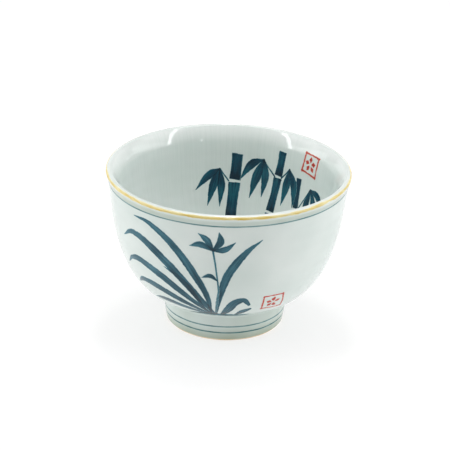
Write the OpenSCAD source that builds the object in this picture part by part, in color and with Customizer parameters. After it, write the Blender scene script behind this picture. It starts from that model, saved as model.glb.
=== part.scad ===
// Porcelain teacup: a deep bowl on a tall foot ring, glazed inside and out, with brush painting.
// Origin at the centre of the foot's contact face, +Z up, the painted front towards -Y. Millimetres.

/* [Cup] */
// Diameter over the flared lip
rim_d = 90; // [84:0.5:96]
// Height from the table to the top of the lip
cup_h = 60.6; // [56:0.1:64]
// Thickness of the wall just below the lip, glaze included
wall_t = 3.6; // [3.2:0.1:3.9]
// Height of the flared part of the lip
lip_h = 3.1; // [2.5:0.1:4]
// How far the lip stands out past the wall below it
lip_flare = 0.6; // [0.3:0.1:1]

/* [Foot] */
// Diameter at the crease where the bowl meets the foot
foot_d = 46.2; // [44:0.2:50]
// Height of that crease above the table
foot_h = 11.4; // [10.6:0.1:13]
// How much the foot narrows from the crease to the table, on the radius
foot_taper = 1; // [0.4:0.1:1.5]
// Width of the foot ring, glaze included
ring_t = 3.3; // [3:0.1:4.5]
// Height of the bare clay edge above the table
bare_h = 1; // [0.6:0.1:1.6]
// Height of the bowl's underside above the table, inside the ring
recess_h = 9.2; // [8:0.1:9.6]

/* [Glaze and lines] */
// Thickness of the glaze
glaze_t = 0.35; // [0.25:0.05:0.5]
// Thickness of a painted line or brush mark
pigment_t = 0.12; // [0.1:0.01:0.2]
// Width of the amber line on the lip
rim_line_w = 1.2; // [0.8:0.1:1.6]
// Width of the blue line below the lip
neck_line_w = 0.6; // [0.3:0.05:1]
// Depth of that line below the top of the lip
neck_line_depth = 4.1; // [3.8:0.1:6]
// Width of each of the two blue lines on the foot
foot_line_w = 0.6; // [0.3:0.05:1]
// Height of the upper one above the table
upper_line_h = 6.4; // [5:0.1:7.5]
// Height of the lower one above the table
lower_line_h = 3.8; // [2.5:0.1:4.4]

/* [Painting] */
// Turn of the grass and blossoms on the outside, from the front towards the right
outer_turn = -21; // [-180:1:180]
// Turn of the seal on the outside
outer_seal_turn = 30; // [-180:1:180]
// Turn of the bamboo on the inside, from the back towards the right
inner_turn = 25; // [-180:1:180]
// Turn of the seal on the inside
inner_seal_turn = 52; // [-180:1:180]

/* [Hidden] */
$fn = 96;
wall_steps = 26;
lip_steps = 6;
flare_steps = 3;
fillet_steps = 4;
floor_steps = 6;
stroke_steps = 3;

clay_colour = "#e9e4d8";
glaze_colour = "#dfe9e6";
cobalt_colour = "#1f5566";
amber_colour = "#d9a83c";
red_colour = "#b8483c";

// ---- Curves ----

function slice(v, a, b) = [for (i = [a:b]) v[i]];
function tail(v) = slice(v, 1, len(v) - 1);
function reverse(v) = [for (i = [len(v) - 1:-1:0]) v[i]];

function bezier_at(p, t) = pow(1 - t, 3) * p[0] + 3 * pow(1 - t, 2) * t * p[1]
                         + 3 * (1 - t) * t * t * p[2] + pow(t, 3) * p[3];
function bezier(p, n) = [for (i = [0:n]) bezier_at(p, i / n)];
function share(v, part) = [v.x * part.x, v.y * part.y];
// A bezier from a to b. Its handles are shares of the run from a to b, across and up.
function swell(a, b, start_share, end_share, n) =
    bezier([a, a + share(b - a, start_share), b - share(b - a, end_share), b], n);

// The unit normal to the left of a line of points, at point i
function left_normal(v, i) =
    let (d = v[min(i + 1, len(v) - 1)] - v[max(i - 1, 0)])
    [-d.y, d.x] / norm(d);
// The line moved by d to its left. A point on the cup's axis stays on it.
function moved(v, d) = [for (i = [0:len(v) - 1])
    let (p = v[i] + d * left_normal(v, i)) [v[i].x == 0 ? 0 : p.x, p.y]];

// ---- The section, at the surface of the glaze ----

rim_r = rim_d / 2;
foot_r = foot_d / 2;
contact_r = foot_r - foot_taper;
crease = [foot_r, foot_h];
neck = [rim_r - lip_flare, cup_h - lip_h];
shoulder = [rim_r, cup_h - 1.1];
lip_top = [rim_r - 1.6, cup_h];
throat = [neck.x - wall_t - 0.5, cup_h - 5.5];
bend = throat + [2, 4.35];
floor_edge = [foot_r - 1.1, foot_h + 2.8];
floor_centre = [0, foot_h + 1.2];

wall_line = swell(crease, neck, [0.972, 0.132], [0.075, 0.13], wall_steps);
inner_wall_line = swell(throat, floor_edge, [0.077, 0.11], [0.94, 0.115], wall_steps);

foot_side = [[contact_r, bare_h], crease - [0.09 * foot_taper, 0.9]];
crease_fillet = bezier([foot_side[1], crease, crease, wall_line[1]], fillet_steps);
outer_lip = bezier([neck, neck + [0.3, 1], shoulder - [0, 0.7], shoulder], lip_steps);
top_lip = bezier([shoulder, shoulder + [0, 0.7], lip_top + [0.8, 0], lip_top], lip_steps);
flare_top = bezier([lip_top, lip_top - [0.4, 0], bend + [0.35, 0.4], bend], flare_steps);
flare = bezier([bend, bend - [0.5, 0.7], throat + [0.6, 1.9], throat], lip_steps);
inner_line = concat(flare_top, tail(flare), tail(inner_wall_line));
inner_floor = bezier([floor_edge, floor_edge - [6.5, 1.8], floor_centre + [9, 0], floor_centre], floor_steps);

// One line from the foot's bare edge up the outside, over the lip and down the inside to the centre
surface = concat(foot_side, tail(crease_fillet), slice(wall_line, 2, wall_steps), tail(outer_lip),
                 tail(top_lip), tail(inner_line), tail(inner_floor));
clay_surface = moved(surface, glaze_t);
pigment_surface = moved(surface, -pigment_t);
lip_top_at = fillet_steps + wall_steps + 2 * lip_steps;
centre_at = len(surface) - 1;

// The well inside the foot ring, from its bare edge up and in to the centre
well_r = contact_r - ring_t;
well = [[well_r, bare_h], [well_r - 0.5, recess_h - 1.3], [well_r - 0.8, recess_h - 0.4],
        [well_r - 1.7, recess_h], [0, recess_h]];
clay_well = moved(well, -glaze_t);
joint_h = recess_h + glaze_t;

bare_edge = [[well_r + 0.5, 0.3], [well_r + 1, 0], [contact_r - 1.4, 0], [contact_r - 0.7, 0.3]];

// ---- Brush marks: each stroke is a list of [across, up, width] on the unrolled wall ----

function spline_at(a, b, c, d, t) =
    0.5 * (2 * b + (c - a) * t + (2 * a - 5 * b + 4 * c - d) * t * t + (3 * b - 3 * c + d - a) * t * t * t);
function spline(v) = [for (i = [0:len(v) - 2], k = [0:stroke_steps - 1])
        spline_at(v[max(i - 1, 0)], v[i], v[i + 1], v[min(i + 2, len(v) - 1)], k / stroke_steps),
    v[len(v) - 1]];

function outline(stroke) =
    let (line = spline(stroke), middle = [for (p = line) [p[0], p[1]]], last = len(line) - 1,
         across = [for (i = [0:last]) line[i][2] / 2 * left_normal(middle, i)])
    concat([for (i = [0:last]) middle[i] + across[i]], [for (i = [last:-1:0]) middle[i] - across[i]]);

// How far along a line of points each point is, and tables of its radius and height there
function lengths(v) =
    [for (i = 0, s = 0; i < len(v); i = i + 1, s = s + norm(v[min(i, len(v) - 1)] - v[i - 1])) s];
function tables(v) = let (s = lengths(v))
    [[for (i = [0:len(v) - 1]) [s[i], v[i].x]], [for (i = [0:len(v) - 1]) [s[i], v[i].y]]];
outer_tables = tables(wall_line);
inner_tables = tables(reverse(inner_line));
painted_r = 41;
// A point of the unrolled wall, as it is seen straight on
function seen(p, wall) = [lookup(p.y, wall[0]) * sin(p.x / painted_r * 180 / PI), lookup(p.y, wall[1])];

grass = [
    [[11, 9, 1.2], [5, 20, 3], [-4, 32, 3.6], [-14, 40, 3.3], [-22, 42, 2.2], [-28, 38.5, 0.4]],
    [[9, 9, 1], [8, 22, 2.4], [2, 35, 3.2], [-5, 44, 2.9], [-13, 49, 2], [-20, 49.5, 0.4]],
    [[10, 9, 1], [1, 19, 2.8], [-9, 27, 3.6], [-19, 31, 3], [-25, 30, 1.8], [-29, 26.5, 0.4]],
    [[9, 9, 1], [-1, 15.5, 2.8], [-12, 20.5, 3.5], [-21, 21.5, 2.6], [-27, 18, 0.4]],
    [[8, 9, 1], [-2, 12, 2.6], [-12, 14, 3], [-20, 12.5, 0.4]],
    [[11, 9, 1], [13, 22, 2.4], [16, 33, 3.2], [21.5, 42, 2.4], [27, 47, 0.4]],
    [[8, 10, 0.8], [3, 22, 2], [-2, 29, 2.1], [-8, 32.5, 0.3]],
    [[14, 9.5, 2], [16.5, 14, 4], [19, 18.5, 3.8], [22.5, 20, 2.6], [25, 17, 1.4]],
    [[20.5, 9.5, 1.6], [23, 12, 3.4], [26, 14, 1.6]],
    [[-2, 7.6, 0.8], [6, 8.6, 3], [14, 8.2, 3.6], [22, 7.8, 2.4], [27, 8.4, 0.6]],
];
blossoms = [
    [[11, 11, 0.8], [12.5, 24, 0.7], [11.5, 36, 0.7], [10.5, 43, 0.8]],
    [[10.5, 43, 0.8], [6.5, 45, 2.7], [2.5, 44, 0.3]],
    [[10.5, 43, 0.8], [8.5, 47, 2.4], [5.5, 49.5, 0.3]],
    [[10.5, 43, 0.8], [13, 46.5, 2.7], [12.5, 50.5, 0.3]],
    [[10.5, 43, 0.8], [14.5, 43.5, 2.4], [18, 46.5, 0.3]],
    [[12, 30, 0.6], [9.5, 32, 2], [6.5, 31, 0.3]],
];
culms = [
    [[-17.5, 2, 5.2], [-17, 9, 4.7], [-16.6, 15.5, 5.2]],
    [[-16.4, 17, 5.2], [-15.8, 24, 4.7], [-15.3, 30.5, 5.2]],
    [[-15.1, 32, 4.9], [-14.7, 37, 4.4], [-14.4, 42, 4.6]],
    [[0, 4, 3.9], [0.8, 12, 3.4], [1.6, 20, 3.9]],
    [[1.8, 21.5, 3.9], [2.6, 28, 3.4], [3.3, 34.5, 3.8]],
    [[3.5, 36, 3.6], [4.1, 40.5, 3.2], [4.6, 45.5, 3.4]],
    [[15, 6, 3], [14.7, 15, 2.7], [14.4, 24, 3]],
    [[14.3, 25.5, 2.9], [14, 31, 2.5], [13.8, 37, 2.7]],
];
leaves = [
    [[-17.8, 31.2, 0.7], [-20, 34, 0.6], [-21.5, 36, 0.7]],
    [[-21.5, 36, 0.6], [-26, 33.5, 3.3], [-32, 28, 0.3]],
    [[-21.5, 36, 0.6], [-24, 30, 3.7], [-27, 21.5, 0.3]],
    [[-21.5, 36, 0.6], [-20.8, 29.5, 3.4], [-21.5, 21, 0.3]],
    [[1.8, 35.2, 0.7], [-1.5, 38.5, 0.6], [-3.5, 41, 0.7]],
    [[-3.6, 41, 0.7], [-8.5, 38.5, 3.4], [-13, 32, 0.3]],
    [[-3.4, 41.1, 0.7], [-6, 34, 3.8], [-8.5, 25, 0.3]],
    [[-3.2, 40.8, 0.7], [-2.3, 34.5, 3.4], [-3.2, 26, 0.3]],
    [[5, 35.2, 0.7], [7, 37.5, 0.6], [8.5, 39.5, 0.7]],
    [[8.5, 39.5, 0.6], [7.8, 33, 3.6], [6.5, 24.5, 0.3]],
    [[8.5, 39.5, 0.6], [11.5, 33.5, 3.4], [12.5, 25, 0.3]],
    [[15.6, 25, 0.6], [18.5, 30.5, 0.5], [21, 35, 0.6]],
    [[21, 35, 0.6], [20, 28.5, 3.4], [18.5, 20, 0.3]],
    [[21, 35, 0.6], [24.5, 29.5, 3.6], [26, 20.5, 0.3]],
    [[21, 35, 0.6], [27, 33.5, 3.2], [33, 28.5, 0.3]],
];
outer_frame = [
    [[-5, 12.8, 0.9], [0, 12.6, 0.8], [5.1, 12.5, 0.9]],
    [[5, 12.6, 0.8], [3.9, 16.8, 0.7], [2.7, 20.9, 0.8]],
    [[2.8, 20.8, 0.8], [-1.5, 20.9, 0.7], [-5.8, 20.7, 0.9]],
    [[-5.6, 20.9, 0.8], [-5.4, 16.8, 0.9], [-4.9, 12.7, 0.8]],
];
outer_flower = [
    [[-0.9, 17.6, 0.5], [-0.9, 18.7, 1.9], [-0.9, 19.6, 0.7]],
    [[-1.7, 17, 0.5], [-2.8, 17.4, 1.9], [-3.7, 17.7, 0.7]],
    [[-1.4, 16.1, 0.5], [-2.1, 15.1, 1.9], [-2.7, 14.3, 0.7]],
    [[-0.4, 16.1, 0.5], [0.3, 15.1, 1.9], [0.9, 14.3, 0.7]],
    [[-0.1, 17, 0.5], [1, 17.4, 1.9], [1.9, 17.7, 0.7]],
];
inner_frame = [
    [[-4.8, 41, 1], [-0.8, 40.5, 0.8], [3.2, 40.1, 1]],
    [[3.1, 40, 0.8], [3.5, 44, 0.8], [3.8, 48, 0.9]],
    [[4.2, 48.1, 0.9], [0, 48.2, 0.7], [-3.8, 48.3, 0.9]],
    [[-3.6, 48.4, 0.8], [-4.1, 44.5, 0.8], [-4.8, 40.8, 1]],
];
inner_flower = [
    [[-0.5, 45.2, 0.5], [-0.5, 46.3, 1.9], [-0.5, 47.2, 0.7]],
    [[-1.3, 44.6, 0.5], [-2.3, 44.9, 1.9], [-3.1, 45.1, 0.7]],
    [[-1, 43.7, 0.5], [-1.7, 42.7, 1.9], [-2.2, 42, 0.7]],
    [[0, 43.7, 0.5], [0.7, 42.7, 1.9], [1.2, 42, 0.7]],
    [[0.3, 44.6, 0.5], [1.3, 44.9, 1.9], [2.1, 45.1, 0.7]],
];

// ---- Shared solids ----

// All the clay in section
module clay_section() {
    polygon(concat(bare_edge, clay_surface, reverse(clay_well)));
}

// A layer of the surface, from its point a to its point b, that reaches to another line
module layer(other, a, b) {
    rotate_extrude() polygon(concat(slice(surface, a, b), reverse(slice(other, a, b))));
}

module ring_line(middle_h, width) {
    intersection() {
        layer(pigment_surface, 0, lip_top_at);
        translate([0, 0, middle_h - width / 2]) cylinder(h = width, d = 2 * rim_d);
    }
}

module strokes_seen(strokes, wall) {
    rotate([90, 0, 0]) linear_extrude(rim_r + 5)
        for (stroke = strokes) polygon([for (p = outline(stroke)) seen(p, wall)]);
}

module outer_marks(strokes, turn) {
    intersection() {
        layer(pigment_surface, 0, lip_top_at);
        rotate([0, 0, turn]) strokes_seen(strokes, outer_tables);
    }
}

module inner_marks(strokes, turn) {
    intersection() {
        layer(pigment_surface, lip_top_at, centre_at);
        rotate([0, 0, -turn]) translate([0, rim_r + 5, 0]) strokes_seen(strokes, inner_tables);
    }
}

// ---- Sub-parts ----

module bowl() {
    color(clay_colour) rotate_extrude() intersection() {
        clay_section();
        translate([0, joint_h]) square([rim_r, cup_h]);
    }
}

module foot_ring() {
    color(clay_colour) rotate_extrude() intersection() {
        clay_section();
        square([rim_r, joint_h]);
    }
}

module outer_glaze() { color(glaze_colour) layer(clay_surface, 0, lip_top_at); }
module inner_glaze() { color(glaze_colour) layer(clay_surface, lip_top_at, centre_at); }
module base_glaze() { color(glaze_colour) rotate_extrude() polygon(concat(well, reverse(clay_well))); }

module rim_line() { color(amber_colour) ring_line(shoulder.y + 0.45, rim_line_w); }
module neck_line() { color(cobalt_colour) ring_line(cup_h - neck_line_depth, neck_line_w); }
module foot_line_upper() { color(cobalt_colour) ring_line(upper_line_h, foot_line_w); }
module foot_line_lower() { color(cobalt_colour) ring_line(lower_line_h, foot_line_w); }

module outer_grass() { color(cobalt_colour) outer_marks(grass, outer_turn); }
module outer_blossoms() { color(cobalt_colour) outer_marks(blossoms, outer_turn); }
module outer_seal_frame() { color(red_colour) outer_marks(outer_frame, outer_seal_turn); }
module outer_seal_flower() { color(red_colour) outer_marks(outer_flower, outer_seal_turn); }

module inner_culms() { color(cobalt_colour) inner_marks(culms, inner_turn); }
module inner_leaves() { color(cobalt_colour) inner_marks(leaves, inner_turn); }
module inner_seal_frame() { color(red_colour) inner_marks(inner_frame, inner_seal_turn); }
module inner_seal_flower() { color(red_colour) inner_marks(inner_flower, inner_seal_turn); }

bowl();
foot_ring();
outer_glaze();
inner_glaze();
base_glaze();
rim_line();
neck_line();
foot_line_upper();
foot_line_lower();
outer_grass();
outer_blossoms();
outer_seal_frame();
outer_seal_flower();
inner_culms();
inner_leaves();
inner_seal_frame();
inner_seal_flower();
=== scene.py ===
import math

import bpy
import numpy as np
from mathutils import Matrix, Vector

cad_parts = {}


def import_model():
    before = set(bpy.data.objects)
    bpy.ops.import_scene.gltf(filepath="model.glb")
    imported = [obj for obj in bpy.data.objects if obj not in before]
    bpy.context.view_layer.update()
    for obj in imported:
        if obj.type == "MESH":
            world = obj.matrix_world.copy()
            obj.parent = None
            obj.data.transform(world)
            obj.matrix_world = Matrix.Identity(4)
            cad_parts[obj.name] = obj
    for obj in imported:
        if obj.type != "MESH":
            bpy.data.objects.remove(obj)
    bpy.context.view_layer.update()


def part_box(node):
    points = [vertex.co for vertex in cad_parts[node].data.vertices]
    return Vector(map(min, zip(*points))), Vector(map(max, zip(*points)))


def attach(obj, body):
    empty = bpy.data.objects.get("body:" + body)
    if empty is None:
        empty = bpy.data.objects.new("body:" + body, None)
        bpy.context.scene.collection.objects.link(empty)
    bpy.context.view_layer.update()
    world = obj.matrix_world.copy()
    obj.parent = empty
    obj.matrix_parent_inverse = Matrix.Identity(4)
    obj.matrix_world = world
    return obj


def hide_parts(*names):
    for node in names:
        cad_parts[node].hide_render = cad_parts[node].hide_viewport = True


# A porcelain teacup with brush painting. Every piece of the CAD frame is remade here as a finer mesh
# with a procedural material. The section and the brush strokes are drawn in millimetres on a cup
# that is 90 mm across, and mm takes them to the frame's own size. The front of the cup faces -Y.

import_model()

DRAWN_RIM_R = 45        # radius of the lip in these drawings, mm
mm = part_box("outer_glaze")[1].x / DRAWN_RIM_R
cup_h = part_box("outer_glaze")[1].z / mm
joint_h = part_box("bowl")[0].z / mm

AROUND = 384            # segments in every solid of revolution
PROFILE_STEP = 0.4      # distance between points along a section, mm
BARE_EDGE_STEP = 0.15   # the same along the foot's bare edge, mm
WELL_SIDE_R = 16.2      # the foot ring's clay is the part of the well beyond this radius, mm
GLAZE_T = 0.35          # thickness of the glaze, mm
FILM_TOP = 0.03         # how far a pigment film stands on the glaze, mm
FILM_DEPTH = 0.1        # how far it reaches below the glaze's surface, mm
PAINTED_R = 41          # radius at which a painting is measured across, mm
GRID = 0.16             # cell size of a painted film, mm
MARGIN = 0.8            # how far around a brush stroke its grid reaches, mm
FAR = 1e9               # the distance from a stroke of a point that is outside its grid, mm


# ---- The section, as [radius, height] in millimetres ----

def bezier(p0, p1, p2, p3, n=200):
    t = np.linspace(0, 1, n)[:, None]
    p0, p1, p2, p3 = (np.array(p, float) for p in (p0, p1, p2, p3))
    return (1 - t) ** 3 * p0 + 3 * (1 - t) ** 2 * t * p1 + 3 * (1 - t) * t * t * p2 + t ** 3 * p3


def joined(*curves):
    """The curves in a row, without the points that two neighbours share."""
    return np.concatenate([curves[0]] + [c[1:] for c in curves[1:]])


def lengths(curve):
    """How far along a line of points each point is."""
    return np.r_[0, np.cumsum(np.linalg.norm(np.diff(curve, axis=0), axis=1))]


def evenly(curve, step):
    """The curve with points at equal distances of about step."""
    s = lengths(curve)
    even = np.linspace(0, s[-1], max(2, round(s[-1] / step) + 1))
    return np.stack([np.interp(even, s, curve[:, k]) for k in (0, 1)], 1)


def left_normals(curve):
    """The unit normal to the left of a line, at each of its points."""
    d = np.gradient(curve, axis=0)
    n = np.stack([-d[:, 1], d[:, 0]], 1)
    return n / np.linalg.norm(n, axis=1)[:, None]


def moved(curve, distance):
    """The curve moved to its left. A point on the cup's axis stays on it."""
    out = curve + distance * left_normals(curve)
    out[:, 0] = np.where(curve[:, 0] < 1e-9, 0, out[:, 0])
    return out


crease = (23.1, 11.4)
neck = (44.4, cup_h - 3.1)
shoulder = (45, cup_h - 1.1)
lip_top = (43.4, cup_h)
bend = (42.3, cup_h - 1.15)
throat = (40.3, cup_h - 5.5)
floor_edge = (22, 14.2)

foot_side = bezier((22.1, 1), (22.4, 3.5), (23.05, 7), (23.05, 10.3))
crease_fillet = bezier(foot_side[-1], (23.1, 11.3), (23.6, 11.65), (25.36, 12.23))
wall = bezier(crease, (43.8, 17.5), (42.8, cup_h - 9.1), neck, 1000)
wall_above_fillet = np.concatenate([crease_fillet[-1:], wall[wall[:, 0] > crease_fillet[-1][0] + 0.05]])
outer_lip = bezier(neck, (44.7, cup_h - 2.1), (45, cup_h - 1.8), shoulder)
top_lip = bezier(shoulder, (45, cup_h - 0.4), (44.2, cup_h), lip_top)
top_flare = bezier(lip_top, (43, cup_h), (42.65, cup_h - 0.75), bend)
inner_flare = bezier(bend, (41.8, cup_h - 1.85), (40.9, cup_h - 3.6), throat)
inner_wall = bezier(throat, (38.9, cup_h - 10), (39.2, 18.9), floor_edge, 1000)
inner_floor = bezier(floor_edge, (15.5, 12.4), (9, 12.6), (0, 12.6))

outside = evenly(joined(foot_side, crease_fillet, wall_above_fillet, outer_lip, top_lip), PROFILE_STEP)
inner_line = joined(top_flare, inner_flare, inner_wall)
inside = evenly(joined(inner_line, inner_floor), PROFILE_STEP)
surface = joined(outside, inside)
clay_surface = moved(surface, GLAZE_T)

# The hollow inside the foot ring, from its bare edge up and in to the centre
well = evenly(joined(bezier((18.8, 1), (18.6, 4), (18.3, 6.8), (18.0, 7.9)),
                     bezier((18.0, 7.9), (17.7, 8.9), (17.1, 9.2), (16, 9.2)),
                     bezier((16, 9.2), (10, 9.15), (5, 9.1), (0, 9.1))), PROFILE_STEP)
clay_well = moved(well, -GLAZE_T)


# ---- Meshes ----

def irregular(points):
    """The small unevenness of a thrown cup, the same for every piece. points are in millimetres."""
    x, y, z = points.T
    a = np.arctan2(y, x)
    h = np.clip(z / cup_h, 0, 1)
    swell = 0.1 * h * np.sin(2 * a + 0.8) + 0.05 * h * np.sin(3 * a + 2.1)
    rings = 0.025 * np.sin(1.3 * z + 0.6 * np.sin(a)) * np.clip((z - 12) / 10, 0, 1)
    r = np.hypot(x, y)
    share = np.clip(r / 20, 0, 1) * (swell + rings) / np.maximum(r, 1e-6)
    lift = 0.08 * h ** 3 * np.sin(2 * a + 2.6)
    return np.stack([x * (1 + share), y * (1 + share), z + lift], 1)


def mesh_object(name, points, faces, material, attributes=()):
    """A smooth-shaded object. points are in millimetres, and attributes are (name, values) per point."""
    mesh = bpy.data.meshes.new(name)
    mesh.from_pydata((irregular(np.asarray(points, float)) * mm).tolist(), [], faces)
    mesh.validate()
    for label, values in attributes:
        values = np.asarray(values, np.float32)
        kind = "FLOAT" if values.ndim == 1 else "FLOAT_VECTOR"
        field = "value" if values.ndim == 1 else "vector"
        mesh.attributes.new(label, kind, "POINT").data.foreach_set(field, values.ravel())
    mesh.shade_smooth()
    mesh.set_sharp_from_angle(angle=math.radians(50))
    mesh.materials.append(material)
    piece = bpy.data.objects.new(name, mesh)
    bpy.context.scene.collection.objects.link(piece)
    return piece


def revolved(name, section, material, thickness_and_shade=None):
    """A closed section turned about Z. Points at radius 0 become one point on the axis.
    Its wall attribute unrolls the surface, and its thickness_and_shade attribute is
    thickness_and_shade(section): the depth of the glaze together with painted light and shade."""
    phi = np.linspace(0, 2 * math.pi, AROUND, endpoint=False)
    points, rows, rings, thick_and_shade = [], [], [], []
    along = lengths(section)
    values = np.full(len(section), 0.4) if thickness_and_shade is None else thickness_and_shade(section)
    for (r, z), s, value in zip(section, along, values):
        turns = phi if r > 1e-9 else phi[:1]
        rows.append(range(len(points), len(points) + len(turns)))
        points += [(r * math.sin(a), -r * math.cos(a), z) for a in turns]
        rings += [(math.sin(a), -math.cos(a), s) for a in turns]
        thick_and_shade += [value] * len(turns)
    faces = []
    for low, high in zip(rows, rows[1:] + rows[:1]):
        if len(low) == 1 and len(high) == 1:
            continue
        for i in range(AROUND):
            k = (i + 1) % AROUND
            if len(low) == 1:
                faces.append((low[0], high[k], high[i]))
            elif len(high) == 1:
                faces.append((low[i], low[k], high[0]))
            else:
                faces.append((low[i], low[k], high[k], high[i]))
    return mesh_object(name, points, faces, material, [("wall", rings), ("thickness_and_shade", thick_and_shade)])


def placed(piece, slot, *nodes):
    """The piece on the one body, in place of the CAD nodes it stands for, which are hidden. slot is not used.
    """
    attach(piece, "root")
    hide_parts(*nodes)
    return piece


# ---- Materials ----

def colour(hex_code):
    """A linear colour from sRGB hex."""
    parts = [int(hex_code[i:i + 2], 16) / 255 for i in (1, 3, 5)]
    return tuple(p / 12.92 if p <= 0.04045 else ((p + 0.055) / 1.055) ** 2.4 for p in parts) + (1,)


class Tree:
    """Short calls that add nodes to a new material and link them."""

    def __init__(self, name):
        self.material = bpy.data.materials.new(name)
        self.material.use_nodes = True
        self.tree = self.material.node_tree
        self.tree.nodes.clear()
        self.shader = self.node("BsdfPrincipled")
        output = self.node("OutputMaterial")
        self.tree.links.new(self.shader.outputs[0], output.inputs["Surface"])

    def node(self, kind, inputs=None, **settings):
        made = self.tree.nodes.new("ShaderNode" + kind)
        for key, value in settings.items():
            setattr(made, key, value)
        for key, value in (inputs or {}).items():
            self.put(made.inputs[key], value)
        return made

    def put(self, socket, value):
        if isinstance(value, bpy.types.NodeSocket):
            self.tree.links.new(value, socket)
        else:
            socket.default_value = value

    def set(self, **inputs):
        for key, value in inputs.items():
            self.put(self.shader.inputs[key.replace("_", " ")], value)

    def attribute(self, name, kind="Fac"):
        return self.node("Attribute", attribute_name=name).outputs[kind]

    def noise(self, scale, vector=None, detail=2.0, roughness=0.5):
        inputs = {"Scale": scale, "Detail": detail, "Roughness": roughness}
        inputs["Vector"] = vector or self.node("TexCoord").outputs["Object"]
        return self.node("TexNoise", inputs).outputs["Fac"]

    def scaled(self, vector, scale):
        return self.node("Mapping", {"Vector": vector, "Scale": scale}).outputs[0]

    def ramp(self, factor, stops):
        made = self.node("ValToRGB", {"Fac": factor})
        elements = made.color_ramp.elements
        while len(elements) < len(stops):
            elements.new(0.5)
        for element, (position, value) in zip(elements, stops):
            element.position = position
            element.color = value
        return made.outputs["Color"]

    def mixed(self, factor, a, b, blend="MIX"):
        return self.node("MixRGB", {"Fac": factor, "Color1": a, "Color2": b}, blend_type=blend).outputs[0]

    def added(self, a, b):
        return self.node("Math", {0: a, 1: b}, operation="ADD").outputs[0]

    def fitted(self, value, low, high, to_low, to_high):
        """The value taken from the range low to high into the range to_low to to_high."""
        inputs = {"Value": value, "From Min": low, "From Max": high, "To Min": to_low, "To Max": to_high}
        return self.node("MapRange", inputs).outputs[0]

    def bump(self, height, distance, strength=1.0, normal=None):
        inputs = {"Height": height, "Distance": distance, "Strength": strength}
        if normal:
            inputs["Normal"] = normal
        return self.node("Bump", inputs).outputs["Normal"]


GLAZE_TINT = "#dde5e1"


def glaze_material(name, streaks):
    """Clear glaze over white clay. It is a faint blue-green that deepens where it is thicker. Its colour also
    carries painted light and shade through the thickness_and_shade attribute.
    streaks is how much the fine lines up and down the wall add to that value."""
    t = Tree(name)
    cloud = t.noise(45, detail=3)
    wall_lines = t.noise(1, t.scaled(t.attribute("wall", "Vector"), (90, 90, 0.06)), detail=3)
    # The section's attribute read here holds painted light and shade as well as the depth of glaze, and the
    # ramp below turns it into colour.
    thick_and_shade = t.added(t.attribute("thickness_and_shade"), t.fitted(cloud, 0.3, 0.7, -0.06, 0.12))
    thick_and_shade = t.added(thick_and_shade, t.fitted(wall_lines, 0.35, 0.75, 0, streaks))
    tint = t.ramp(thick_and_shade, [(0, colour("#f0f4f2")), (0.35, colour(GLAZE_TINT)),
                          (0.6, colour("#cdd9d4")), (1, colour("#a3af9d"))])
    peel = t.noise(420, detail=1)
    normal = t.bump(wall_lines, 0.0000006, normal=t.bump(peel, 0.000003))
    t.set(Base_Color=tint, Roughness=t.fitted(cloud, 0.3, 0.7, 0.03, 0.06), IOR=1.5,
          Subsurface_Weight=0.15, Subsurface_Radius=(0.9, 1.0, 0.95), Subsurface_Scale=0.0012, Normal=normal)
    return t.material


def clay_material():
    """Bare fired porcelain: dry and fine-grained, flashed amber next to the glaze."""
    t = Tree("porcelain_clay")
    grain = t.noise(2600, detail=3)
    patches = t.noise(160, detail=3)
    height = t.node("SeparateXYZ", {0: t.node("TexCoord").outputs["Object"]}).outputs["Z"]
    flashed = t.fitted(height, 0.0, 0.0011, 0.15, 0.9)
    flash = t.node("Math", {0: flashed, 1: t.fitted(patches, 0.35, 0.65, 0.25, 1)}, operation="MULTIPLY")
    body = t.mixed(t.fitted(grain, 0.35, 0.7, 0, 0.5), colour("#efe9dc"), colour("#d8cebb"))
    t.set(Base_Color=t.mixed(flash.outputs[0], body, colour("#d9a955")),
          Roughness=t.fitted(grain, 0.3, 0.7, 0.7, 0.9), Normal=t.bump(grain, 0.00003))
    return t.material


def pigment_material(name, stops, roughness):
    """A painted film. Its ink attribute is how much pigment there is, from a bare edge to dense."""
    t = Tree(name)
    peel = t.noise(420, detail=1)
    grain = t.noise(1500, detail=3)
    ink = t.added(t.attribute("ink"), t.fitted(grain, 0.3, 0.7, -0.03, 0.03))
    t.set(Base_Color=t.ramp(ink, stops), IOR=1.5, Specular_IOR_Level=0.3,
          Roughness=t.fitted(grain, 0.3, 0.7, *roughness),
          Normal=t.bump(grain, 0.000004, normal=t.bump(peel, 0.000004)))
    return t.material


def cobalt_stops(light, middle, dark, deepest):
    """The colours of a cobalt film, from bare glaze to its densest ink."""
    return [(0, colour(GLAZE_TINT)), (0.12, colour(light)), (0.4, colour(middle)),
            (0.7, colour(dark)), (1, colour(deepest))]


outer_glaze_look = glaze_material("clear_glaze_outside", 0.0)
inner_glaze_look = glaze_material("clear_glaze_inside", 0.1)
clay_look = clay_material()
outer_cobalt = pigment_material("cobalt_outside", cobalt_stops("#7aa5aa", "#3a7080", "#184857", "#062c3a"),
                                (0.06, 0.14))
inner_cobalt = pigment_material("cobalt_inside", cobalt_stops("#6f9ba2", "#17606f", "#003c50", "#001f30"),
                                (0.06, 0.14))
line_cobalt = pigment_material("cobalt_lines", cobalt_stops("#bccbc9", "#95afad", "#6b8f90", "#497071"),
                               (0.06, 0.14))
amber_look = pigment_material("amber_iron", [(0, colour(GLAZE_TINT)), (0.25, colour("#ece7cd")),
                                             (0.6, colour("#e3d69c")), (1, colour("#d1b45c"))], (0.08, 0.2))
red_look = pigment_material("red_enamel", [(0, colour("#e0c4bc")), (0.3, colour("#cf8275")),
                                           (0.6, colour("#c04a3d")), (1, colour("#ac352b"))], (0.2, 0.35))


# ---- The glazed body ----

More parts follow.
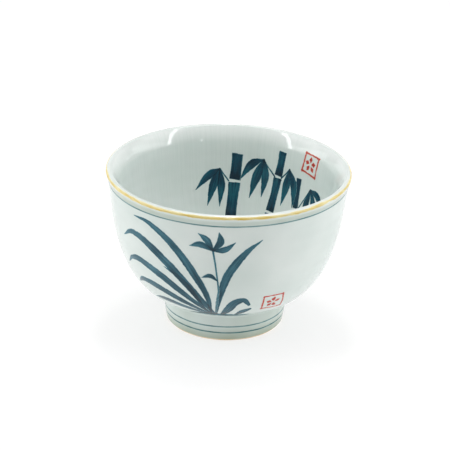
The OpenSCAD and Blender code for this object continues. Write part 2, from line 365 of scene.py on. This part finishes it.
def glaze_outside(section):
    """How deep the glaze's colour is, from 0 to 1: pale where the glaze thins on the lip, a painted shade in
    the band just below the flared lip, and on the foot and the low part of the bowl a painted shade that
    darkens towards the bottom, with a painted lighter band at the crease.
    """
    r, z = section.T
    wall = 0.25 + 0.2 * np.clip((cup_h - 0.5 - z) / 2, 0, 1)
    # Painted shade in the band under the flared lip, where the neck faces down.
    shade_below_lip = 0.3 * np.exp(-((z - cup_h + 2.8) / 1.2) ** 4)
    # Painted shade on the foot and low bowl, darker still towards the floor, with a painted lighter band at
    # the crease.
    foot = 0.16 - 0.06 * np.exp(-((z - 11.6) / 1.5) ** 2) + 0.34 * np.clip((6 - z) / 5, 0, 1)
    return wall + shade_below_lip + foot * np.clip((28 - r) / 4, 0, 1)


def glaze_inside(section):
    """Palest on the flare of the lip, partly thinner glaze and partly a painted highlight where it faces up,
    and darkest on the upper wall, a painted shade under the rim, growing lighter lower down.
    """
    drop = cup_h - section[:, 1]
    # These values paint light on the lip's flare and shade on the upper wall, as well as giving the glaze's
    # depth.
    return np.interp(drop, (0, 0.8, 1.5, 6, 14, 26), (0.25, 0.12, 0.14, 0.38, 0.38, 0.22))


def above(curve, height):
    """The part of a rising curve from exactly that height upward."""
    first = np.argmax(curve[:, 1] > height)
    a, b = curve[first - 1], curve[first]
    start = a + (b - a) * (height - a[1]) / (b[1] - a[1])
    return np.concatenate([[start], curve[first:]])


def below(curve, height):
    """The part of a rising curve up to exactly that height."""
    first = np.argmax(curve[:, 1] > height)
    return np.concatenate([curve[:first], above(curve, height)[:1]])


lip_at = len(outside) - 1
outer_shell = np.concatenate([outside, clay_surface[:lip_at + 1][::-1]])
inner_shell = np.concatenate([inside, clay_surface[lip_at:][::-1]])
base_shell = np.concatenate([well, clay_well[::-1]])
bowl_section = np.concatenate([[(0, joint_h)], above(clay_surface, joint_h)])
bare_edge = evenly(joined(bezier((19.15, 1), (19.15, 0.4), (19.4, 0), (19.9, 0)),
                          np.array([(19.9, 0), (20.8, 0)]),
                          bezier((20.8, 0), (21.4, 0), (21.75, 0.4), (21.75, 1))), BARE_EDGE_STEP)
well_side = clay_well[clay_well[:, 0] > WELL_SIDE_R]
foot_section = np.concatenate([bare_edge, below(clay_surface, joint_h), well_side[::-1]])

placed(revolved("glaze_outside", outer_shell, outer_glaze_look, glaze_outside), "clear_glaze", "outer_glaze")
placed(revolved("glaze_inside", inner_shell, inner_glaze_look, glaze_inside), "clear_glaze", "inner_glaze")
placed(revolved("glaze_in_foot_well", base_shell, outer_glaze_look), "clear_glaze", "base_glaze")
placed(revolved("clay_bowl", bowl_section, clay_look), "porcelain_clay", "bowl")
placed(revolved("clay_foot_ring", foot_section, clay_look), "porcelain_clay", "foot_ring")


# ---- Pigment films ----

def lattice_noise(seed, x, y):
    """Smooth noise from 0 to 1 over the plane, the same each run for one seed."""
    size = 64
    values = np.random.default_rng(seed).random((size, size))
    x0, y0 = np.floor(x).astype(int), np.floor(y).astype(int)
    fx, fy = x - x0, y - y0
    fx, fy = fx * fx * (3 - 2 * fx), fy * fy * (3 - 2 * fy)

    def corner(i, j):
        return values[(x0 + i) % size, (y0 + j) % size]

    low = corner(0, 0) * (1 - fx) + corner(1, 0) * fx
    high = corner(0, 1) * (1 - fx) + corner(1, 1) * fx
    return low * (1 - fy) + high * fy


def spline(points, step):
    """A smooth line of [across, up, width] through the points, with its samples about step apart."""
    p = np.array(points, float)
    p = np.concatenate([[2 * p[0] - p[1]], p, [2 * p[-1] - p[-2]]])
    line = []
    for a, b, c, d in zip(p, p[1:], p[2:], p[3:]):
        t = np.linspace(0, 1, max(2, round(np.linalg.norm((c - b)[:2]) / step)), endpoint=False)[:, None]
        line.append(0.5 * (2 * b + (c - a) * t + (2 * a - 5 * b + 4 * c - d) * t ** 2
                           + (3 * b - 3 * c + d - a) * t ** 3))
    return np.concatenate(line + [p[-2:-1]])


def stroke_field(u, s, stroke, seed, style):
    """For every grid point: how far it lies inside one brush stroke, in mm, and how much ink is there."""
    line = spline(stroke, 0.08)
    line[:, 2] = np.maximum(line[:, 2], 0.05)
    tangent = np.gradient(line[:, :2], axis=0)
    tangent /= np.linalg.norm(tangent, axis=1)[:, None]
    nearest = np.full(u.shape, FAR)
    which = np.zeros(u.shape, int)
    for k, (cu, cs, width) in enumerate(line):
        reach = width / 2 + MARGIN
        i0, i1 = np.searchsorted(u[:, 0], (cu - reach, cu + reach))
        j0, j1 = np.searchsorted(s[0], (cs - reach, cs + reach))
        window = (slice(i0, i1), slice(j0, j1))
        d = np.hypot(u[window] - cu, s[window] - cs)
        closer = d < nearest[window]
        nearest[window][closer] = d[closer]
        which[window][closer] = k
    half = line[which, 2] / 2
    along = lengths(line[:, :2])[which]
    total = lengths(line[:, :2])[-1]
    side = (tangent[which, 0] * (s - line[which, 1]) - tangent[which, 1] * (u - line[which, 0])) / half
    ragged = lattice_noise(seed, along * 0.9, 3 * np.sign(side) + 8) - 0.5
    ragged = ragged + 0.5 * (lattice_noise(seed + 1, along * 2.6, 3 * np.sign(side) + 8) - 0.5)
    depth = half + style["ragged"] * np.minimum(half, 1) * ragged - nearest
    for end, outward in ((0, -tangent[0]), (-1, tangent[-1])):
        past = (u - line[end, 0]) * outward[0] + (s - line[end, 1]) * outward[1]
        at_end = which == (end % len(line))
        depth = np.where(at_end, np.minimum(depth, style["blunt"] + 0.3 * ragged - past), depth)
    bristles = lattice_noise(seed + 2, along * 0.16, side * style["bristles"] + 20)
    fine = lattice_noise(seed + 3, along * 0.4, side * style["bristles"] * 2.3 + 20)
    blot = lattice_noise(seed + 4, along * 0.22, side * 0.7 + 9)
    edge = np.clip(np.abs(side), 0, 1) ** 3
    load = 1 - style["fade"] * np.clip(along / max(total, 1e-6), 0, 1)
    load = load + style["pause"] * (np.exp(-along / 1.6) + 0.8 * np.exp(-(total - along) / 1.2))
    ink = load * (style["base"] + style["streaks"] * (0.65 * bristles + 0.35 * fine - 0.5)
                  + style["edge"] * edge + style["blots"] * (blot - 0.5))
    reached = nearest < FAR
    return np.where(reached, depth, -1), np.where(reached, np.clip(ink, 0.12, 1.2), 0)


# How a brush marks: how ragged its edges are, how many bristles show, how the ink fades along a stroke and
# pools at its ends, the ink it carries, its streaks, dark edges and blots, how softly it ends, in mm, and how
# far past its last point it goes, in mm.
BRUSH = {"ragged": 0.16, "bristles": 5, "fade": 0.2, "pause": 0.25, "base": 0.66, "streaks": 0.45,
         "edge": 0.16, "blots": 0.3, "soft": 0.22, "blunt": 3}
CULM_BRUSH = dict(BRUSH, bristles=7, base=0.7, streaks=0.5, blots=0.4, pause=0.5, ragged=0.12, blunt=0.3)
SEAL_PEN = {"ragged": 0.6, "bristles": 2, "fade": 0.1, "pause": 0.1, "base": 0.85, "streaks": 0.2,
            "edge": 0, "blots": 0.5, "soft": 0.3, "blunt": 3}


def painted_field(strokes, seed, style):
    """The grid over all the strokes, how far inside the nearest one each point is, and its ink."""
    lines = np.concatenate([np.array(v, float) for v in strokes])
    low = lines[:, :2].min(0) - lines[:, 2].max() / 2 - MARGIN
    high = lines[:, :2].max(0) + lines[:, 2].max() / 2 + MARGIN
    u, s = np.meshgrid(np.arange(low[0], high[0], GRID), np.arange(low[1], high[1], GRID), indexing="ij")
    inside_by = np.full(u.shape, -1.0)
    clear = np.ones(u.shape)
    for k, stroke in enumerate(strokes):
        depth, ink = stroke_field(u, s, stroke, seed + 10 * k, style)
        covers = np.clip(depth / style["soft"], 0, 1)
        clear *= 1 - np.clip(ink * covers, 0, 0.97) * 0.85
        inside_by = np.maximum(inside_by, depth)
    return u, s, inside_by, (1 - clear) / 0.85


def film(name, u, s, inside_by, ink, wall_point, material, rise=FILM_TOP):
    """A closed thin film over the part of the grid where inside_by is positive.
    wall_point takes u, s and a height above the glaze and gives points in space."""
    keys, spots = {}, []

    def corner(i, j):
        if (i, j) not in keys:
            keys[i, j] = len(spots)
            spots.append((u[i, j], s[i, j], ink[i, j]))
        return keys[i, j]

    def crossing(a, b):
        key = (min(a, b), max(a, b))
        if key not in keys:
            (ia, ja), (ib, jb) = key
            t = inside_by[ia, ja] / (inside_by[ia, ja] - inside_by[ib, jb])
            t = min(max(t, 0.08), 0.92)
            keys[key] = len(spots)
            spots.append(tuple(f[ia, ja] * (1 - t) + f[ib, jb] * t for f in (u, s, ink)))
        return keys[key]

    positive = inside_by > 0
    touched = positive[:-1, :-1] | positive[1:, :-1] | positive[1:, 1:] | positive[:-1, 1:]
    tops = []
    for i, j in np.argwhere(touched):
        loop = [(i, j), (i + 1, j), (i + 1, j + 1), (i, j + 1)]
        face = []
        for a, b in zip(loop, loop[1:] + loop[:1]):
            if positive[a]:
                face.append(corner(*a))
            if positive[a] != positive[b]:
                face.append(crossing(a, b))
        tops.append(face)
    spots = np.array(spots)
    count = len(spots)
    edges = {}
    for face in tops:
        for a, b in zip(face, face[1:] + face[:1]):
            edges[a, b] = True
    sides = [(b, a, a + count, b + count) for a, b in edges if (b, a) not in edges]
    bottoms = [[k + count for k in reversed(face)] for face in tops]
    points = np.concatenate([wall_point(spots[:, 0], spots[:, 1], rise),
                             wall_point(spots[:, 0], spots[:, 1], -FILM_DEPTH)])
    inks = np.tile(spots[:, 2], 2)
    return mesh_object(name, points, tops + sides + bottoms, material, [("ink", inks)])


def on_curve(curve):
    """A function that gives the point and normal of a section at each distance along it."""
    along = lengths(curve)
    normals = left_normals(curve)

    def at(s, rise):
        r, z = (np.interp(s, along, curve[:, k]) for k in (0, 1))
        nr, nz = (np.interp(s, along, normals[:, k]) for k in (0, 1))
        return r - rise * nr, z - rise * nz
    return at


def on_outer_wall(turn):
    """Points of the outside. u runs to the right, and s up from the crease."""
    at = on_curve(wall)

    def point(u, s, rise):
        r, z = at(s, rise)
        phi = math.radians(turn) + u / PAINTED_R
        return np.stack([r * np.sin(phi), -r * np.cos(phi), z], 1)
    return point


def on_inner_wall(turn):
    """Points of the inside, seen from the front. u runs to the right, and s up from the floor."""
    at = on_curve(inner_line[::-1])

    def point(u, s, rise):
        r, z = at(s, -rise)
        phi = math.radians(turn) + u / PAINTED_R
        return np.stack([r * np.sin(phi), r * np.cos(phi), z], 1)
    return point


# Each stroke is a list of [across, up, width] on the unrolled wall, in millimetres
GRASS = [
    [[11, 9, 1.2], [5, 20, 3], [-4, 32, 3.6], [-14, 40, 3.3], [-22, 42, 2.2], [-28, 38.5, 0.4]],
    [[9, 9, 1], [8, 22, 2.4], [2, 35, 3.2], [-5, 44, 2.9], [-13, 49, 2], [-20, 49.5, 0.4]],
    [[10, 9, 1], [1, 19, 2.8], [-9, 27, 3.6], [-19, 31, 3], [-25, 30, 1.8], [-29, 26.5, 0.4]],
    [[9, 9, 1], [-1, 15.5, 2.8], [-12, 20.5, 3.5], [-21, 21.5, 2.6], [-27, 18, 0.4]],
    [[8, 9, 1], [-2, 12, 2.6], [-12, 14, 3], [-20, 12.5, 0.4]],
    [[11, 9, 1], [13, 22, 2.4], [16, 33, 3.2], [21.5, 42, 2.4], [27, 47, 0.4]],
    [[8, 10, 0.8], [3, 22, 2], [-2, 29, 2.1], [-8, 32.5, 0.3]],
    [[14, 9.5, 2], [16.5, 14, 4], [19, 18.5, 3.8], [22.5, 20, 2.6], [25, 17, 1.4]],
    [[20.5, 9.5, 1.6], [23, 12, 3.4], [26, 14, 1.6]],
    [[-2, 7.6, 0.8], [6, 8.6, 3], [14, 8.2, 3.6], [22, 7.8, 2.4], [27, 8.4, 0.6]],
]
BLOSSOMS = [
    [[11, 11, 0.8], [12.5, 24, 0.7], [11.5, 36, 0.7], [10.5, 43, 0.8]],
    [[10.5, 43, 0.8], [6.5, 45, 2.7], [2.5, 44, 0.3]],
    [[10.5, 43, 0.8], [8.5, 47, 2.4], [5.5, 49.5, 0.3]],
    [[10.5, 43, 0.8], [13, 46.5, 2.7], [12.5, 50.5, 0.3]],
    [[10.5, 43, 0.8], [14.5, 43.5, 2.4], [18, 46.5, 0.3]],
    [[12, 30, 0.6], [9.5, 32, 2], [6.5, 31, 0.3]],
]
CULMS = [
    [[-17.5, 2, 5.2], [-17, 9, 4.7], [-16.6, 15.5, 5.2]],
    [[-16.4, 17, 5.2], [-15.8, 24, 4.7], [-15.3, 30.5, 5.2]],
    [[-15.1, 32, 4.9], [-14.7, 37, 4.4], [-14.4, 42, 4.6]],
    [[0, 4, 3.9], [0.8, 12, 3.4], [1.6, 20, 3.9]],
    [[1.8, 21.5, 3.9], [2.6, 28, 3.4], [3.3, 34.5, 3.8]],
    [[3.5, 36, 3.6], [4.1, 40.5, 3.2], [4.6, 45.5, 3.4]],
    [[15, 6, 3], [14.7, 15, 2.7], [14.4, 24, 3]],
    [[14.3, 25.5, 2.9], [14, 31, 2.5], [13.8, 37, 2.7]],
]
LEAVES = [
    [[-17.8, 31.2, 0.7], [-20, 34, 0.6], [-21.5, 36, 0.7]],
    [[-21.5, 36, 0.6], [-26, 33.5, 3.3], [-32, 28, 0.3]],
    [[-21.5, 36, 0.6], [-24, 30, 3.7], [-27, 21.5, 0.3]],
    [[-21.5, 36, 0.6], [-20.8, 29.5, 3.4], [-21.5, 21, 0.3]],
    [[1.8, 35.2, 0.7], [-1.5, 38.5, 0.6], [-3.5, 41, 0.7]],
    [[-3.6, 41, 0.7], [-8.5, 38.5, 3.4], [-13, 32, 0.3]],
    [[-3.4, 41.1, 0.7], [-6, 34, 3.8], [-8.5, 25, 0.3]],
    [[-3.2, 40.8, 0.7], [-2.3, 34.5, 3.4], [-3.2, 26, 0.3]],
    [[5, 35.2, 0.7], [7, 37.5, 0.6], [8.5, 39.5, 0.7]],
    [[8.5, 39.5, 0.6], [7.8, 33, 3.6], [6.5, 24.5, 0.3]],
    [[8.5, 39.5, 0.6], [11.5, 33.5, 3.4], [12.5, 25, 0.3]],
    [[15.6, 25, 0.6], [18.5, 30.5, 0.5], [21, 35, 0.6]],
    [[21, 35, 0.6], [20, 28.5, 3.4], [18.5, 20, 0.3]],
    [[21, 35, 0.6], [24.5, 29.5, 3.6], [26, 20.5, 0.3]],
    [[21, 35, 0.6], [27, 33.5, 3.2], [33, 28.5, 0.3]],
]
OUTER_FRAME = [
    [[-5, 12.8, 0.9], [0, 12.6, 0.8], [5.1, 12.5, 0.9]],
    [[5, 12.6, 0.8], [3.9, 16.8, 0.7], [2.7, 20.9, 0.8]],
    [[2.8, 20.8, 0.8], [-1.5, 20.9, 0.7], [-5.8, 20.7, 0.9]],
    [[-5.6, 20.9, 0.8], [-5.4, 16.8, 0.9], [-4.9, 12.7, 0.8]],
]
OUTER_FLOWER = [
    [[-0.9, 17.6, 0.5], [-0.9, 18.7, 1.9], [-0.9, 19.6, 0.7]],
    [[-1.7, 17, 0.5], [-2.8, 17.4, 1.9], [-3.7, 17.7, 0.7]],
    [[-1.4, 16.1, 0.5], [-2.1, 15.1, 1.9], [-2.7, 14.3, 0.7]],
    [[-0.4, 16.1, 0.5], [0.3, 15.1, 1.9], [0.9, 14.3, 0.7]],
    [[-0.1, 17, 0.5], [1, 17.4, 1.9], [1.9, 17.7, 0.7]],
]
INNER_FRAME = [
    [[-4.8, 41, 1], [-0.8, 40.5, 0.8], [3.2, 40.1, 1]],
    [[3.1, 40, 0.8], [3.5, 44, 0.8], [3.8, 48, 0.9]],
    [[4.2, 48.1, 0.9], [0, 48.2, 0.7], [-3.8, 48.3, 0.9]],
    [[-3.6, 48.4, 0.8], [-4.1, 44.5, 0.8], [-4.8, 40.8, 1]],
]
INNER_FLOWER = [
    [[-0.5, 45.2, 0.5], [-0.5, 46.3, 1.9], [-0.5, 47.2, 0.7]],
    [[-1.3, 44.6, 0.5], [-2.3, 44.9, 1.9], [-3.1, 45.1, 0.7]],
    [[-1, 43.7, 0.5], [-1.7, 42.7, 1.9], [-2.2, 42, 0.7]],
    [[0, 43.7, 0.5], [0.7, 42.7, 1.9], [1.2, 42, 0.7]],
    [[0.3, 44.6, 0.5], [1.3, 44.9, 1.9], [2.1, 45.1, 0.7]],
]
# Where each painting is turned to, in degrees to the right of the front, or of the back for the inside
OUTER_TURN, OUTER_SEAL_TURN, INNER_TURN, INNER_SEAL_TURN = -21, 30, 25, 52


def painting(name, node, slot, strokes, seed, style, wall_point, material, rise=FILM_TOP):
    """All the strokes as one film, in place of a CAD node."""
    field = painted_field(strokes, seed, style)
    placed(film(name, *field, wall_point, material, rise), slot, node)


painting("grass_leaves", "outer_grass", "cobalt_blue", GRASS, 100, BRUSH, on_outer_wall(OUTER_TURN),
         outer_cobalt)
painting("grass_blossoms", "outer_blossoms", "cobalt_blue", BLOSSOMS, 300, BRUSH, on_outer_wall(OUTER_TURN),
         outer_cobalt, FILM_TOP * 1.5)
painting("outer_seal_border", "outer_seal_frame", "red_enamel", OUTER_FRAME, 500, SEAL_PEN,
         on_outer_wall(OUTER_SEAL_TURN), red_look)
painting("outer_seal_petals", "outer_seal_flower", "red_enamel", OUTER_FLOWER, 600, SEAL_PEN,
         on_outer_wall(OUTER_SEAL_TURN), red_look)
painting("bamboo_stems", "inner_culms", "cobalt_blue", CULMS, 700, CULM_BRUSH, on_inner_wall(INNER_TURN),
         inner_cobalt)
painting("bamboo_leaves", "inner_leaves", "cobalt_blue", LEAVES, 900, BRUSH, on_inner_wall(INNER_TURN),
         inner_cobalt, FILM_TOP * 1.5)
painting("inner_seal_border", "inner_seal_frame", "red_enamel", INNER_FRAME, 1100, SEAL_PEN,
         on_inner_wall(INNER_SEAL_TURN), red_look)
painting("inner_seal_petals", "inner_seal_flower", "red_enamel", INNER_FLOWER, 1200, SEAL_PEN,
         on_inner_wall(INNER_SEAL_TURN), red_look)


# ---- Painted rings ----

def ring(name, node, slot, height, width, uneven, ink_level, paler_above, seed, material):
    """A hand-turned line right around the outside. Its width, height and ink wander a little.
    uneven is how much its width wanders, and paler_above how much ink its upper edge lacks."""
    at = on_curve(outside)
    along = lengths(outside)
    middle = np.interp(height, outside[:lip_at, 1], along[:lip_at])
    phi = np.linspace(0, 2 * math.pi, 2 * AROUND, endpoint=False)
    x, y = 6 + 5 * np.cos(phi), 6 + 5 * np.sin(phi)
    wander = lattice_noise(seed, x, y) - 0.5
    fat = lattice_noise(seed + 1, 3 * x, 3 * y) - 0.5 + 0.5 * (lattice_noise(seed + 2, 12 * x, 12 * y) - 0.5)
    dark = lattice_noise(seed + 3, 2 * x, 2 * y) - 0.5
    across = np.linspace(-1, 1, 9)
    half = width / 2 * (1 + uneven * fat)
    s = middle + 0.25 * width * wander + across[:, None] * half
    turn = np.broadcast_to(phi, s.shape)
    strands = lattice_noise(seed + 4, 5 * x, 20 + 5 * y + 1.6 * across[:, None]) - 0.5
    ink = ink_level * (1 + 0.4 * dark + uneven * strands) * (1 - 0.6 * np.abs(across[:, None]) ** 4)
    ink = ink * (1 - paler_above * (0.5 + 0.5 * across[:, None]))
    layers = []
    for rise in (FILM_TOP, -FILM_DEPTH):
        r, z = at(s, rise)
        layers.append(np.stack([r * np.sin(turn), -r * np.cos(turn), z], -1))
    points = np.concatenate([layers[0], layers[1][::-1]])
    rows = len(points)
    count = len(phi)
    faces = [(a * count + i, a * count + (i + 1) % count, b * count + (i + 1) % count, b * count + i)
             for a, b in zip(range(rows), list(range(1, rows)) + [0]) for i in range(count)]
    inks = np.concatenate([ink, ink[::-1]]).ravel()
    piece = mesh_object(name, points.reshape(-1, 3), faces, material, [("ink", inks)])
    placed(piece, slot, node)


rim_line_h = cup_h - 0.65
neck_line_h = cup_h - 4.1
upper_line_h = 6.4
lower_line_h = 3.8

ring("amber_lip_line", "rim_line", "amber_iron", rim_line_h, 1.2, 0.5, 0.95, 0.45, 1300, amber_look)
ring("blue_neck_line", "neck_line", "cobalt_blue", neck_line_h, 0.58, 0.2, 0.8, 0, 1400, line_cobalt)
ring("blue_foot_line_upper", "foot_line_upper", "cobalt_blue", upper_line_h, 0.58, 0.2, 0.8, 0, 1500,
     line_cobalt)
ring("blue_foot_line_lower", "foot_line_lower", "cobalt_blue", lower_line_h, 0.62, 0.2, 1, 0, 1600,
     line_cobalt)


# ---- Stage, lights and camera ----

# The point that the camera and every light are aimed at
centre = Vector((-0.017 * DRAWN_RIM_R, 0, 0.6147 * cup_h)) * mm


def floor():
    """A sheet of pale paper, 6 m square. It glows a little, which keeps it near white beside the cup."""
    half = 3
    corners = [(-half, -half, 0), (half, -half, 0), (half, half, 0), (-half, half, 0)]
    mesh = bpy.data.meshes.new("floor")
    mesh.from_pydata(corners, [], [(0, 1, 2, 3)])
    t = Tree("floor_paper")
    t.set(Base_Color=(0.32, 0.32, 0.32, 1), Roughness=0.9,
          Emission_Color=(1, 1, 1, 1), Emission_Strength=0.68)
    mesh.materials.append(t.material)
    piece = bpy.data.objects.new("floor", mesh)
    bpy.context.scene.collection.objects.link(piece)


def area_light(name, azimuth, elevation, distance, width, height, watts):
    """A softbox aimed at the cup. Azimuth 0 is the camera's side, and 90 is to its right.
    Angles are in degrees, and the distance, width and height in metres."""
    a, e = math.radians(azimuth), math.radians(elevation)
    way = Vector((math.sin(a) * math.cos(e), -math.cos(a) * math.cos(e), math.sin(e)))
    light = bpy.data.lights.new(name, "AREA")
    light.shape = "RECTANGLE"
    light.size, light.size_y = width, height
    light.energy = watts
    lamp = bpy.data.objects.new(name, light)
    lamp.location = centre + way * distance
    lamp.rotation_euler = way.to_track_quat("Z", "Y").to_euler()
    bpy.context.scene.collection.objects.link(lamp)


def world(strength):
    """An even white light from all around."""
    sky = bpy.data.worlds.new("studio")
    sky.use_nodes = True
    sky.node_tree.nodes["Background"].inputs["Color"].default_value = (1, 1, 1, 1)
    sky.node_tree.nodes["Background"].inputs["Strength"].default_value = strength
    bpy.context.scene.world = sky


def camera():
    """A long lens 24 degrees above the table, in front of the painting, held a little off level."""
    elevation, roll, distance = math.radians(24.36), math.radians(1.7), 0.7
    back = Vector((0, -math.cos(elevation), math.sin(elevation)))
    right = Vector((1, 0, 0))
    up = back.cross(right)
    x_axis = right * math.cos(roll) + up * math.sin(roll)
    y_axis = up * math.cos(roll) - right * math.sin(roll)
    data = bpy.data.cameras.new("camera")
    data.sensor_width = 36
    data.lens = 150.5
    data.clip_start, data.clip_end = 0.01, 20
    eye = bpy.data.objects.new("camera", data)
    place = Matrix((x_axis, y_axis, back)).transposed().to_4x4()
    place.translation = centre + back * distance
    eye.matrix_world = place
    bpy.context.scene.collection.objects.link(eye)
    bpy.context.scene.camera = eye


floor()
world(0.17)
area_light("left_softbox", -85, 30, 0.9, 0.6, 0.8, 1.4)
area_light("right_softbox", 85, 30, 0.9, 0.6, 0.8, 1.7)
area_light("left_strip", -67, 37, 0.9, 0.07, 0.98, 1.6)
area_light("right_strip", 67, 37, 0.9, 0.07, 0.98, 1.6)
area_light("low_left", -90, 8, 0.9, 0.9, 0.35, 2.2)
area_light("low_right", 90, 8, 0.9, 0.9, 0.35, 1.5)
area_light("top_softbox", 178, 84, 0.9, 0.7, 0.6, 3.6)
area_light("sweep", 180, 14, 0.9, 1.6, 0.52, 1.2)
area_light("top_strip", 180, 72, 0.88, 0.09, 0.3, 1.5)
area_light("narrow_right", 30, 8, 0.9, 0.02, 0.22, 0.2)
area_light("narrow_left", -30, 6, 0.9, 0.02, 0.1, 0.08)
area_light("glint_left", -128, 28, 0.9, 0.05, 0.05, 0.08)
area_light("glint_right", 128, 28, 0.9, 0.05, 0.05, 0.08)
camera()
bpy.context.scene.view_settings.view_transform = "Standard"
